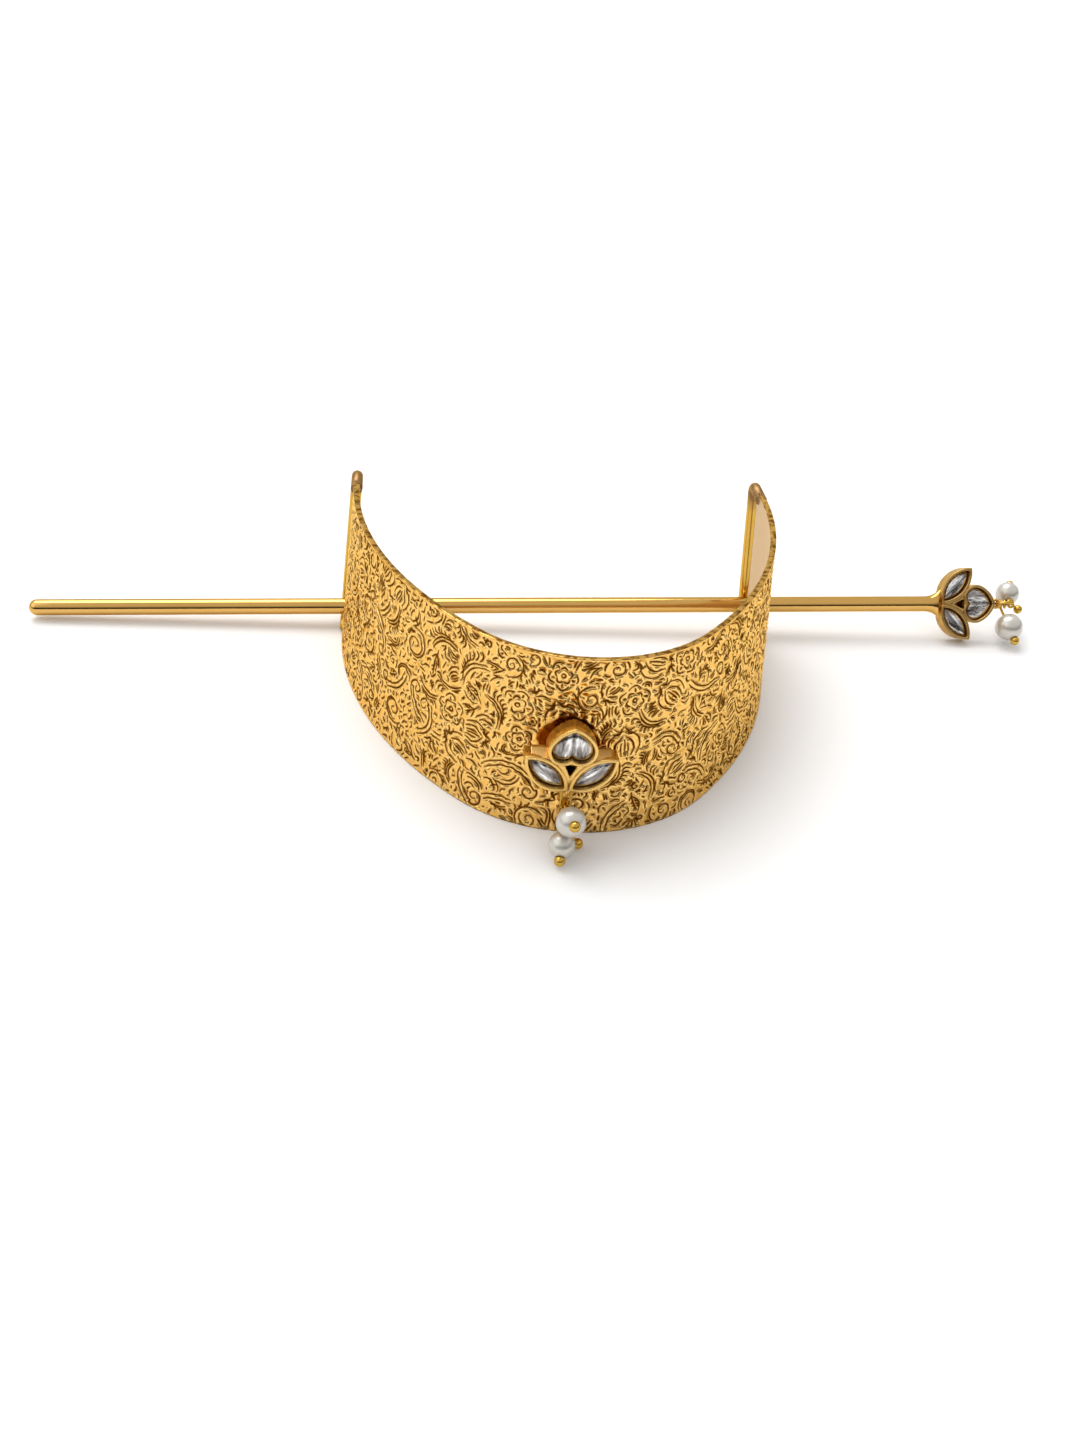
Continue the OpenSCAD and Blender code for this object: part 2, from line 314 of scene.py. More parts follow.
# Tones of crumpled silver foil, from its dark folds to its white ones
FOIL_TONES = (
    (0.37, (0.07, 0.052, 0.045)), (0.47, (0.25, 0.225, 0.21)),
    (0.56, (0.46, 0.435, 0.42)), (0.65, (0.95, 0.94, 0.93)),
)


def foiled_glass(name, painted_whitening=0.0):
    """Glass over silver foil: streaks along the stone, and painted shade in dark brown round its
    edge.

    The higher painted_whitening is, the more of the foil is painted white, as light for a lit
    copy of the glass.
    """
    f = Finish(name, Metallic=1.0, Coat_Weight=1.0, Coat_Roughness=0.02)
    edge, along, across = (f.mark(key) for key in ("edge", "along", "across"))
    lie = f.node("CombineXYZ", {0: along*0.35, 1: across*1.5, 2: 0.3})
    streak = f.node("TexNoise", {"Vector": lie, "Scale": 1.0, "Detail": 3.0, "Roughness": 0.6})
    stops = [(place - painted_whitening, tone) for place, tone in FOIL_TONES]
    foil = f.node("ValToRGB", {"Fac": streak}, stops=stops)
    f.set(
        Base_Color=f.blend(edge, foil, (0.13, 0.065, 0.035)),
        Roughness=0.12 + streak*0.12,
        Normal=f.bump(streak, 0.35, 0.5),
    )
    return f.material


def pearl_lustre():
    """Pearl lacquer with faint clouds."""
    f = Finish("pearl_lustre", Metallic=0.55, Coat_Weight=0.6, Coat_Roughness=0.1)
    cloud = f.noise(1.6, 3)
    f.set(
        Base_Color=f.blend(cloud, (0.54, 0.51, 0.45), (0.67, 0.64, 0.58)),
        Roughness=0.26 + cloud*0.1,
    )
    return f.material


ENGRAVED = engraved_gold()
INSIDE_GOLD = plain_gold("inside_gold", (0.57, 0.415, 0.28), (0.655, 0.49, 0.335), 0.42, 0.75)
RIM_GOLD = rim_gold()
ROD_GOLD = plain_gold("rod_gold", (0.63, 0.365, 0.098), (0.72, 0.43, 0.13), 0.07)
LOOP_GOLD = loop_gold()
WIRE_GOLD = plain_gold("wire_gold", (0.52, 0.31, 0.05), (0.66, 0.42, 0.09), 0.14)
# Near-black for the floor of the cuff's small hole: painted shade
HOLE_SHADE = plain_gold("painted_hole_shade", (0.02, 0.008, 0.002), (0.06, 0.02, 0.004), 0.6)
COLLET_GOLD = plain_gold("collet_gold", (0.74, 0.46, 0.13), (0.84, 0.56, 0.19), 0.24)
COLLET_BRONZE = plain_gold("collet_bronze", (0.40, 0.23, 0.07), (0.64, 0.41, 0.15), 0.24)
# The finial's stones are a lit copy of the cuff's, with their foil painted whiter
FOILED_GLASS = {
    "cuff": foiled_glass("cuff_stone_glass"),
    "stick": foiled_glass("finial_stone_glass_painted_whiter", 0.06),
}
PEARL = pearl_lustre()
TABLE_WHITE = Finish(
    "table_white", Base_Color=(0.93, 0.93, 0.93), Roughness=0.9, Specular_IOR_Level=0.0,
).material
BACKDROP_WHITE = Finish(
    "backdrop_white", Base_Color=(0, 0, 0), Emission_Color=(1, 1, 1), Emission_Strength=1.0,
).material


# ---------------------------------------------------------------- shapes
def loft_faces(rings, around, first=0, caps=True):
    """Quads of a skin over closed rings of points, with flat ends."""
    i = np.arange(rings - 1)[:, None]*around + first
    j = np.arange(around)
    k = (j + 1) % around
    faces = np.stack([i + j, i + k, i + around + k, i + around + j], -1).reshape(-1, 4).tolist()
    if caps:
        faces.append(list(range(first + around - 1, first - 1, -1)))
        faces.append(list(range(first + (rings - 1)*around, first + rings*around)))
    return faces


def placing(p, z_dir, x_hint):
    """Matrix that puts a form at p with its Z along z_dir and its X near x_hint."""
    z = np.array(z_dir, float)
    z /= np.linalg.norm(z)
    y = np.cross(z, x_hint)
    y /= np.linalg.norm(y)
    m = np.eye(4)
    m[:3, 0], m[:3, 1], m[:3, 2], m[:3, 3] = np.cross(y, z), y, z, p
    return m


def moved(m, points):
    return np.asarray(points, float) @ m[:3, :3].T + m[:3, 3]


def at_height(line, z):
    """A flat outline raised to one height."""
    return np.column_stack([line, 0*line[:, 0] + z])


def full_turn(sides):
    """Angles all the way round, evenly spaced."""
    return np.linspace(0, 2*pi, sides, endpoint=False)


def arc(centre, radius, turn):
    """Points of a circle at those angles."""
    return centre + radius*np.stack([np.cos(turn), np.sin(turn)], -1)


class Form:
    """Points and faces of one piece, gathered from closed forms."""

    def __init__(self):
        self.points, self.faces, self.count = [], [], 0

    def loft(self, rings, caps=True):
        """A skin over closed rings, with flat ends or with its last ring joined to its first."""
        rings = np.asarray(rings, float)
        rows, around = rings.shape[:2]
        self.faces += loft_faces(rows, around, self.count, caps)
        if not caps:
            first, last = self.count, self.count + (rows - 1)*around
            for j in range(around):
                k = (j + 1) % around
                self.faces.append([last + j, last + k, first + k, first + j])
        self.points.append(rings.reshape(-1, 3))
        self.count += rows*around

    def tube(self, path, radius, sides):
        """A round wire along a path."""
        path = np.asarray(path, float)
        ahead = np.gradient(path, axis=0)
        ahead /= np.linalg.norm(ahead, axis=1)[:, None]
        off_the_path = [0.31, 0.57, 0.76]
        side = np.cross(ahead[0], off_the_path)
        turn = full_turn(sides)
        rings = []
        for p, t in zip(path, ahead):
            side = side - t*(side @ t)
            side /= np.linalg.norm(side)
            ring = np.outer(np.cos(turn), side) + np.outer(np.sin(turn), np.cross(t, side))
            rings.append(p + radius*ring)
        self.loft(rings)

    def ring(self, m, radius, wire):
        """A ring of round wire about the matrix's Z."""
        across = full_turn(18)
        out, up = radius + wire*np.cos(across), wire*np.sin(across)
        self.loft([
            moved(m, np.stack([out*cos(a), out*sin(a), up], -1)) for a in full_turn(56)
        ], caps=False)

    def lathe(self, m, profile, sides=48):
        """A turned form: (radius, height) pairs round the matrix's Z."""
        circle = arc(0, 1, full_turn(sides))
        self.loft([moved(m, at_height(r*circle, z)) for r, z in profile])

    def piece(self, name, body, material, stands_for=(), smooth=True):
        """Makes what was gathered a piece of the pin."""
        mesh = bpy.data.meshes.new(name)
        mesh.from_pydata(((np.concatenate(self.points) - BOX_MID)*MM).tolist(), [], self.faces)
        return dress(name, mesh, body, material, stands_for, smooth)


def add_to_scene(name, data):
    made = bpy.data.objects.new(name, data)
    bpy.context.scene.collection.objects.link(made)
    return made


def dress(name, mesh, body, material, stands_for=(), smooth=True):
    """Makes a mesh a piece of the pin."""
    mesh.polygons.foreach_set("use_smooth", [smooth]*len(mesh.polygons))
    made = add_to_scene(name, mesh)
    mesh.materials.append(material)
    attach(made, body)
    if stands_for:
        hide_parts(*stands_for)
    return made


def carry(mesh, key, values):
    """Stores a value at each point of a mesh, for its finish."""
    kept = mesh.attributes.new(key, "FLOAT", "POINT")
    kept.data.foreach_set("value", values.astype(np.float32).ravel())


# ---------------------------------------------------------------- engraving
# Vertices of the engraved face: columns along the band and rows up it
COLUMNS = 1201
ROWS = 264
PANELS = 6
EDGE = 0.2
ALONG = np.linspace(-BAND_LONG, BAND_LONG, COLUMNS)
UP = np.linspace(EDGE, SLOPE_HIGH - EDGE, ROWS)
FACE = ALONG[:, None] + 1j*UP[None, :]
# Smooth place round the post of the trefoil, where the engraving was soldered over
PATCH_MID = MOTIF_X + 1j*(MOTIF_Z + BACKING_Y)
PATCH_R = 4.4


class Engraving:
    """Strokes of the graver on the band laid flat. A point is the number along + 1j*up, in mm."""

    STEP = 0.08
    REACH = 0.75
    MARGIN = 0.35
    SHORTEST = 5
    CELL = 0.1
    BATCH = 8000

    def __init__(self, seed):
        self.dice = np.random.default_rng(seed)
        self.taken = np.zeros((COLUMNS, ROWS), bool)
        self.spots, self.widths = [], []

    def cells(self, z):
        """Column and row of the vertex nearest to each point."""
        return (np.rint((z.real - ALONG[0])/(ALONG[1] - ALONG[0])).astype(int),
                np.rint((z.imag - UP[0])/(UP[1] - UP[0])).astype(int))

    def free(self, z):
        """Which points are on the band, off the solder, and clear of earlier strokes."""
        inside = abs(z.real) < BAND_LONG - self.MARGIN
        inside &= (z.imag > self.MARGIN) & (z.imag < SLOPE_HIGH - self.MARGIN)
        inside &= abs(z - PATCH_MID) > PATCH_R
        x, y = self.cells(np.where(inside, z, 1j))
        return inside & ~self.taken[x, y]

    def even(self, z):
        """The same line with evenly spaced points."""
        run = np.concatenate([[0], np.cumsum(abs(np.diff(z)))])
        at = np.linspace(0, run[-1], max(int(run[-1]/self.STEP), 2) + 1)
        return np.interp(at, run, z.real) + 1j*np.interp(at, run, z.imag)

    def cut(self, strokes, gap, whole=False):
        """Cuts what is free of each stroke, and keeps later strokes that far from it.

        A whole stroke is cut from end to end or not at all.
        """
        done = []
        for z, width in strokes:
            z = self.even(z)
            free = self.free(z)
            if whole and not free.all():
                continue
            edges = np.flatnonzero(np.diff(np.concatenate([[0], free.astype(int), [0]])))
            for a, b in zip(edges[::2], edges[1::2]):
                if b - a > self.SHORTEST:
                    t = np.linspace(0, 1, b - a)
                    self.spots.append(z[a:b])
                    self.widths.append(width*(0.4 + 0.6*np.sin(pi*t)**0.6))
                    done.append(z[a:b])
        if done:
            near = np.arange(-gap, gap + self.CELL/2, self.CELL)
            disc = (near[:, None] + 1j*near[None, :]).ravel()
            x, y = self.cells(np.concatenate(done)[:, None] + disc[abs(disc) <= gap])
            self.taken[x.clip(0, COLUMNS - 1), y.clip(0, ROWS - 1)] = True

    def clearance(self):
        """How far each vertex is outside the nearest stroke's edge."""
        spots, widths = np.concatenate(self.spots), np.concatenate(self.widths)
        far = np.full((COLUMNS, ROWS), self.REACH)
        dx, dy = ALONG[1] - ALONG[0], UP[1] - UP[0]
        i, j = (np.arange(-int(self.REACH/d), int(self.REACH/d) + 1) for d in (dx, dy))
        i, j = (v.ravel() for v in np.meshgrid(i, j))
        for first in range(0, len(spots), self.BATCH):
            batch = slice(first, first + self.BATCH)
            z, w = spots[batch, None], widths[batch, None]
            x, y = self.cells(z)
            x, y = x + i, y + j
            away = abs(ALONG[0] + x*dx + 1j*(UP[0] + y*dy) - z) - w
            keep = (x >= 0) & (x < COLUMNS) & (y >= 0) & (y < ROWS)
            np.minimum.at(far, (x[keep], y[keep]), away[keep])
        return far


def bow(a, b, bulge, points=14):
    """A curve from a to b that bulges to the left by that share of its length."""
    t = np.linspace(0, 1, points)
    return a + (b - a)*t + (b - a)*1j*4*bulge*t*(1 - t)


def spiral(r0, r1, start, turns, points=60):
    """A curve round 0, from one radius to another."""
    t = np.linspace(0, 1, points)
    return (r0 + (r1 - r0)*t)*np.exp(1j*(start + 2*pi*turns*t))


def both(z):
    """A line and its mirror image in the motif's axis."""
    return [z, np.conj(z)]


# Each motif gives its lines round 0, and how far it reaches.
def rose():
    """Five petals round a ring, with a short line in each outer petal."""
    lines = [spiral(0.28, 0.28, 0, 1)]
    for k in range(5):
        a, b = (np.exp(1j*(2*pi*k/5 + s)) for s in (-0.52, 0.52))
        lines += [
            bow(0.95*a, 0.95*b, -0.4), bow(1.75*a*np.exp(0.63j), 1.75*b*np.exp(0.63j), -0.34),
            bow(1.25*a*np.exp(1.15j), 1.7*a*np.exp(1.15j), 0.1),
        ]
    return lines, 2.2


def paisley():
    """A bent drop inside another, with two lines over its shoulder."""
    t = np.linspace(0.03, 0.97, 70)*2*pi
    drop = 2.3*np.cos(t) + 1.5j*np.sin(t)*np.sin(t/2)**1.3
    drop = drop + 0.25j*((drop.real + 2.3)/2.3)**2
    lines = [drop, drop*0.62 - 0.35, bow(-1.3 + 0j, 0.1 + 0.1j, 0.12)]
    for k in range(2):
        outer, inner = 2.4 - 0.3*k, 1.2 - 0.2*k
        lines.append(bow((2.5 + 0.85*k)*np.exp(1j*outer), (2.5 + 0.3*k)*np.exp(1j*inner), -0.16))
    return lines, 2.6


def tulip():
    """A blossom of nested petals on a stem."""
    lines = [bow(-0.6 + 0j, 1.8 + 0j, 0.03)]
    for z in (bow(-2.0 + 0.1j, 2.0 + 1.75j, 0.32), bow(-1.1 + 0.2j, 2.1 + 0.95j, 0.24),
              bow(-0.1 + 0.42j, 1.9 + 0.42j, 0.08), bow(-2.4 + 0.5j, -1.7 + 1.7j, -0.45),
              bow(-2.7 + 0.1j, -2.5 + 1.5j, -0.4)):
        lines += both(z)
    return lines, 2.5


def palmette():
    """A fan of fronds over two rolled ends."""
    lines = []
    for k in range(-4, 5):
        way = np.exp(0.36j*k)
        lines.append(bow(0.75*way - 1.2, (2.9 - 0.1*k*k)*way - 1.2, 0.07*k))
    lines += both(spiral(0.15, 0.75, 0.5, 1.2) - 1.5 - 1.7j)
    lines.append(bow(-1.9 - 0.7j, -1.9 + 0.7j, -0.4))
    return lines, 2.4


def vine():
    """A stem that coils up, double lined, with a fringe of small leaves."""
    lines = [spiral(0.2, 2.5, 0, 1.5), spiral(1.25, 1.75, 1.5 + 2*pi*0.58, 0.6)]
    for a in np.arange(0.2, 4.4, 0.36):
        lines.append(bow(2.95*np.exp(1j*a), 3.75*np.exp(1j*(a + 0.22)), 0.2))
    lines.append(bow(2.5*np.exp(3.1j), 4.6*np.exp(2.7j), -0.22, 24))
    lines.append(bow(3.1*np.exp(3.2j), 5.0*np.exp(2.8j), -0.22, 24))
    return lines, 3.2


def leaf():
    """A long leaf with a midrib and side veins, on a short stalk."""
    root, tip = -2.2 + 0j, 2.4 + 0.3j
    lines = [bow(root, tip, 0.3), bow(root, tip, -0.22), bow(-3.2 - 0.3j, 1.7 + 0.2j, 0.05)]
    for k in range(3):
        for s in (1, -1):
            lines.append(bow(-1.1 + 0.8*k + s*0.28j, -0.4 + 0.8*k + s*0.72j, -s*0.2))
    return lines, 2.2


def comb():
    """A few strokes side by side."""
    return [bow(-1.1 + 0.22*k + 0.72j*k, 1.2 - 0.12*k + 0.72j*k, 0.22) for k in range(-1, 3)], 1.7


def curl():
    """A rolled tendril with an outer line beside it and a few barbs."""
    lines = [spiral(0.2, 1.25, 0, 1.25), spiral(1.75, 1.95, 0.4, 0.5)]
    for a in np.arange(0.5, 2.6, 0.42):
        lines.append(bow(2.1*np.exp(1j*a), 2.7*np.exp(1j*(a + 0.3)), 0.2))
    return lines, 2.1


def frond():
    """A bent stem with barbs along one side."""
    stem = bow(-2.6 + 0j, 2.6 + 0j, 0.24, 24)
    lines = [stem, stem - 0.55j]
    lines += [bow(stem[k] + 0.45j, stem[k] + 0.9 + 1.35j, -0.28) for k in range(2, 22, 3)]
    return lines, 2.4


SCROLLS = 30
SCROLL_PITCH = 4.6
# How far a later stroke stays from a scroll or a motif
MOTIF_CLEAR = 0.54
# Motifs, their smallest and largest size, how many places are tried, how close they may stand
MOTIF_ROUNDS = (
    ((vine, tulip, frond, rose, curl), 0.85, 1.1, 1500, 0.85),
    ((rose, leaf, palmette, tulip, frond, curl, paisley), 0.62, 0.9, 4000, 0.78),
    ((comb, frond, rose, curl, frond), 0.5, 0.72, 6000, 0.74),
)
# Filling strokes: places tried, shortest, longest, how far later ones stay, and whether cut whole
FILL_ROUNDS = (
    (5000, 1.6, 3.4, 0.6, False), (12000, 1.1, 2.0, 0.58, True),
    (16000, 0.6, 1.2, 0.55, True), (6000, 0.4, 0.7, 0.52, True),
)


def somewhere(dice):
    """A random place on the band laid flat."""
    return dice.uniform(-BAND_LONG, BAND_LONG) + 1j*dice.uniform(0, SLOPE_HIGH)


def cut_scrolls(e):
    """Double-lined stems, each ending in a roll."""
    dice = e.dice
    for k in range(SCROLLS):
        start = 2 - BAND_LONG + k*SCROLL_PITCH + dice.uniform(-1, 1)
        start = start + 1j*dice.uniform(2, SLOPE_HIGH - 5)
        way = np.exp(1j*dice.uniform(0.1, 1.2)*dice.choice([1, -1]))*dice.choice([1, -1])
        side = dice.choice([-1, 1])
        line = bow(start, start + dice.uniform(4.5, 8.5)*way, side*dice.uniform(0.16, 0.3), 30)
        last = line[-1] - line[-2]
        last /= abs(last)
        roll = spiral(dice.uniform(0.9, 1.4), 0.25, 0, -side*dice.uniform(0.9, 1.3))
        roll = line[-1] + (roll - roll[0])*last*1j*side
        along = np.gradient(line)
        beside = 0.34j*along/abs(along)
        inner = np.concatenate([line - beside*side, roll[1:]])
        e.cut([(inner, 0.105), (line + beside*side, 0.095)], MOTIF_CLEAR)


def cut_motifs(e):
    """Blossoms, leaves and tendrils, turned and mirrored at random, the large ones first."""
    dice = e.dice
    for motifs, low, high, tries, close in MOTIF_ROUNDS:
        centres = []
        for _ in range(tries):
            at = somewhere(dice)
            lines, reach = motifs[dice.integers(len(motifs))]()
            size = dice.uniform(low, high)
            if any(abs(at - c) < close*(reach*size + r) for c, r in centres):
                continue
            centres.append((at, reach*size))
            turn = size*np.exp(1j*dice.uniform(0, 2*pi))
            flip = np.conj if dice.random() < 0.5 else np.asarray
            e.cut([(at + turn*flip(z), dice.uniform(0.075, 0.115)) for z in lines], MOTIF_CLEAR)


def cut_fill(e):
    """Small bowed strokes in what is left, in one slow swirl of directions."""
    dice = e.dice
    for tries, low, high, gap, whole in FILL_ROUNDS:
        for _ in range(tries):
            at = somewhere(dice)
            way = 1.6*sin(at.real*0.31 + 1) + 1.5*cos(at.imag*0.45 + at.real*0.19)
            way = way + dice.normal(0, 0.35)
            half = dice.uniform(low, high)/2*np.exp(1j*way)
            line = bow(at - half, at + half, dice.uniform(-0.42, 0.42))
            e.cut([(line, dice.uniform(0.065, 0.11))], gap, whole)


def engrave_band():
    """Covers the band with scrolls, blossoms and leaves, then fills what is left."""
    e = Engraving(seed=23)
    cut_scrolls(e)
    cut_motifs(e)
    cut_fill(e)
    return e


LUMP_WAVES = 40


def lumps(dice):
    """Uneven swelling of pressed metal, about -1 to 1, at every vertex of the band."""
    total = 0
    for _ in range(LUMP_WAVES):
        k = 2*pi/dice.uniform(1.0, 2.6)*np.exp(1j*dice.uniform(0, pi))
        total = total + np.sin(k.real*FACE.real + k.imag*FACE.imag + dice.uniform(0, 2*pi))
    return total/sqrt(LUMP_WAVES/2)


def wall_frame(along, up):
    """Point, outward normal, and directions along and up of the cuff's outer face."""
    z = up*cos(FLARE)
    out = flare_out(z)
    side = np.sign(along)*(abs(along) > FRONT_LONG)
    past = (abs(along) - FRONT_LONG)/(SIDE_R + MID_OUT)
    in_front = -pi/2 + along/(FRONT_R + MID_OUT)
    angle = np.where(side == 0, in_front, -pi/2 + side*(FRONT_HALF + past))
    radius = np.where(side == 0, FRONT_R, SIDE_R) + out
    x = -side*SIDE_MID*sin(FRONT_HALF) + radius*np.cos(angle)
    y = BAND_Y + abs(side)*SIDE_MID*cos(FRONT_HALF) + radius*np.sin(angle)
    normal = [np.cos(angle)*cos(FLARE), np.sin(angle)*cos(FLARE), 0*angle + sin(FLARE)]
    normal = np.stack(normal, -1)
    ahead = np.stack([-np.sin(angle), np.cos(angle), 0*angle], -1)
    return np.stack([x, y, z], -1), normal, ahead, np.cross(normal, ahead)


# Relief of the engraved face
CUT_DEEP = 0.13
CUT_SOFT = 0.1
CUT_WIDER = 0.6
SWELL_HIGH = 0.15
SWELL_LONG = 0.34
LUMP_HIGH = 0.07
LUMP_LOW = 1.6
# Reach of the painted shade beside a cut, and place and width of the painted highlight on its lip
CUT_SHADE_LONG = 0.12
HIGHLIGHT_FAR = 0.18
HIGHLIGHT_LONG = 0.13
RIM_FADE = 0.5
PATCH_FADE = 0.5
PATCH_IN = 0.1
PATCH_LOW = 0.08


def relief(e):
    """Height of the metal over the plain wall, and marks for its finish.

    The marks say how far a point is cut, where shade is painted beside a cut and a highlight on
    its lip, and where the smooth solder is, which is painted dark as shade and reflection.
    """
    away = e.clearance()
    cut = (CUT_WIDER - away/CUT_SOFT).clip(0, 1)
    cut = cut*cut*(3 - 2*cut)
    swell = np.sin((away/SWELL_LONG).clip(0, 1)*pi/2)
    rim = np.minimum(UP - EDGE, UP[-1] - UP)[None, :]
    fade = (rim/RIM_FADE).clip(0, 1)
    smooth = ((PATCH_R - PATCH_IN - abs(FACE - PATCH_MID))/PATCH_FADE).clip(0, 1)
    bare = 1 - smooth
    lump = LUMP_HIGH*lumps(e.dice)*bare - LUMP_LOW*LUMP_HIGH
    height = ((SWELL_HIGH*(swell - 1) + lump)*(1 - cut) - CUT_DEEP*cut)*fade
    # Painted shade beside each cut, and a painted highlight on its lip
    low = (1 - away/CUT_SHADE_LONG).clip(0, 1)
    lip_highlight = (1 - abs(away - HIGHLIGHT_FAR)/HIGHLIGHT_LONG).clip(0, 1)
    marks = {"cut": cut*bare, "low": low*bare, "lip_highlight": lip_highlight*bare, "smooth": smooth}
    return height*bare - PATCH_LOW*smooth*fade, marks


# Corner of the sheet at its rim and foot: distance from the edge, and out from the outer face
BEVEL = (
    (0.07, -0.02), (0.015, -0.07), (0.0, -0.18),
    (0.0, 0.18 - BAND_THICK), (0.05, 0.04 - BAND_THICK), (0.16, -BAND_THICK),
)
INNER_ROWS = 12
INNER_EDGE = 0.5


def sheet_section():
    """Rim, inner face and foot in section: up, off the outer face, and the normal's two parts."""
    inner = np.linspace(SLOPE_HIGH - INNER_EDGE, INNER_EDGE, INNER_ROWS)
    section = [(off, SLOPE_HIGH - down) for down, off in BEVEL]
    section += [(-BAND_THICK, up) for up in inner]
    section += [(off, down) for down, off in BEVEL[::-1]]
    off, up = np.array(section).T
    lie = np.diff([(0, UP[-1]), *section, (0, UP[0])], axis=0)
    lie = lie/np.linalg.norm(lie, axis=1)[:, None]
    lie = lie[1:] + lie[:-1]
    lie = lie/np.linalg.norm(lie, axis=1)[:, None]
    return up, off, lie[:, 1], -lie[:, 0]


def band_panels():
    """The engraved band in closed panels, side by side."""
    height, marks = relief(engrave_band())
    slope_along = np.gradient(height, ALONG, axis=0)
    slope_up = np.gradient(height, UP, axis=1)
    rest_up, rest_off, rest_out, rest_rise = sheet_section()
    around = ROWS + len(rest_up)
    columns = (COLUMNS - 1)//PANELS + 1
    inner_first = ROWS + len(BEVEL) - 1
    for k in range(PANELS):
        span = slice(k*(columns - 1), k*(columns - 1) + columns)
        up = np.tile(np.concatenate([UP, rest_up]), (columns, 1))
        off = np.concatenate([height[span], np.tile(rest_off, (columns, 1))], 1)
        point, normal, ahead, rise = wall_frame(np.repeat(ALONG[span, None], around, 1), up)
        point = point + off[..., None]*normal
        point[..., 2] = point[..., 2].clip(0, BAND_HIGH)
        name = "cuff_band_%d" % (k + 1)
        mesh = bpy.data.meshes.new(name)
        faces = [f[::-1] for f in loft_faces(columns, around)]
        mesh.from_pydata(((point.reshape(-1, 3) - BOX_MID)*MM).tolist(), [], faces)
        dress(name, mesh, "cuff", ENGRAVED, ["cuff"])
        mesh.materials.append(INSIDE_GOLD)
        mesh.materials.append(RIM_GOLD)
        for key, field in marks.items():
            values = np.zeros((columns, around))
            values[:, :ROWS] = field[span]
            carry(mesh, key, values)
        finish = np.zeros((columns - 1, around), np.int32)
        finish[:, ROWS:] = 2
        finish[:, inner_first:inner_first + INNER_ROWS + 1] = 1
        finish = np.concatenate([finish.ravel(), [2, 2]]).astype(np.int32)
        mesh.polygons.foreach_set("material_index", finish)
        # Normals come from the relief and the section, so that the panels join without a seam
        face = (normal[:, :ROWS] - slope_along[span, :, None]*ahead[:, :ROWS]
                - slope_up[span, :, None]*rise[:, :ROWS])
        face /= np.linalg.norm(face, axis=2, keepdims=True)
        rest = rest_out[:, None]*normal[:, :1] + rest_rise[:, None]*rise[:, :1]
        shade = np.concatenate([face, rest], 1)
        mesh.normals_split_custom_set_from_vertices(shade.reshape(-1, 3).tolist())
        lay_flat(mesh, columns, around)


def lay_flat(mesh, columns, around):
    """Texture map of a panel: its skin unrolled, one square."""
    i, j = np.meshgrid(np.arange(columns - 1), np.arange(around), indexing="ij")
    corners = [np.stack([i + di, j + dj], -1) for di, dj in ((1, 0), (1, 1), (0, 1), (0, 0))]
    quads = np.stack(corners, 2).reshape(-1, 2)/[columns - 1, around]
    ring = np.arange(around)/around
    ends = [np.stack([0*ring + x, ring], -1) for x in (0, 1)]
    ends[1] = ends[1][::-1]
    flat = mesh.uv_layers.new(name="OFBake")
    flat.data.foreach_set("uv", np.concatenate([quads, *ends]).astype(np.float32).ravel())


# ---------------------------------------------------------------- trefoils
def angle_of(vector):
    return atan2(vector[1], vector[0])


def leaf_line(grow, points=72):
    """Outline of the right leaf, grown outwards by that much, anticlockwise."""
    half = np.linalg.norm(LEAF_TIP - LEAF_ROOT)/2
    mid, along = (LEAF_ROOT + LEAF_TIP)/2, (LEAF_TIP - LEAF_ROOT)/(2*half)
    up = np.array([-along[1], along[0]])
    arcs = []
    for sag, side in zip(LEAF_SAGS, (-1, 1)):
        r = (half*half + sag*sag)/(2*sag)
        arcs.append((mid - side*up*(r - sag), r + grow))
    # The two arcs cross at the tips
    (c0, r0), (c1, r1) = arcs
    gap = np.linalg.norm(c1 - c0)
    x = (gap*gap + r0*r0 - r1*r1)/(2*gap)
    reach = sqrt(r0*r0 - x*x)
    line = (c1 - c0)/gap
    across = np.array([-line[1], line[0]])
    tips = [c0 + line*x + across*reach, c0 + line*x - across*reach]
    tips.sort(key=lambda p: p[0])
    out = []
    for (c, r), (p, q) in zip(arcs, (tips, tips[::-1])):
        a, b = angle_of(p - c), angle_of(q - c)
        sweep = (b - a + pi) % (2*pi) - pi
        out.append(arc(c, r, a + sweep*np.linspace(0, 1, points//2, endpoint=False)))
    return np.concatenate(out)


def heart_line(grow, points=84):
    """Outline of the heart, tip up, grown outwards by that much, anticlockwise."""
    # Middle of the right flank's arc, which touches the lobe and passes the tip
    reach = FLANK_R - LOBE_R
    gap = sqrt(LOBE_X**2 + HEART_TIP**2)
    along = (gap*gap + FLANK_R**2 - reach**2)/(2*gap)
    off = sqrt(FLANK_R**2 - along**2)
    d = np.array([LOBE_X, -HEART_TIP])/gap
    c = np.array([0, HEART_TIP]) + d*along + np.array([d[1], -d[0]])*off
    lobe, r, big = np.array([LOBE_X, 0]), LOBE_R + grow, FLANK_R + grow
    notch = -sqrt(max(r*r - LOBE_X**2, 0.01))
    tip = c[1] + sqrt(big*big - c[0]**2)
    low, touch, high = atan2(notch, -LOBE_X), angle_of(lobe - c), atan2(tip - c[1], -c[0])
    n = points//4
    right = np.concatenate([
        arc(lobe, r, np.linspace(low, touch, n)),
        arc(c, big, np.linspace(touch, high, n + 1)[1:]),
    ])
    left = right[::-1][1:-1]*[-1, 1]
    return np.concatenate([right, left]) + [0, HEART_Y]


def left_leaf_line(grow):
    return leaf_line(grow)[::-1]*[-1, 1]


PETALS = (heart_line, leaf_line, left_leaf_line)


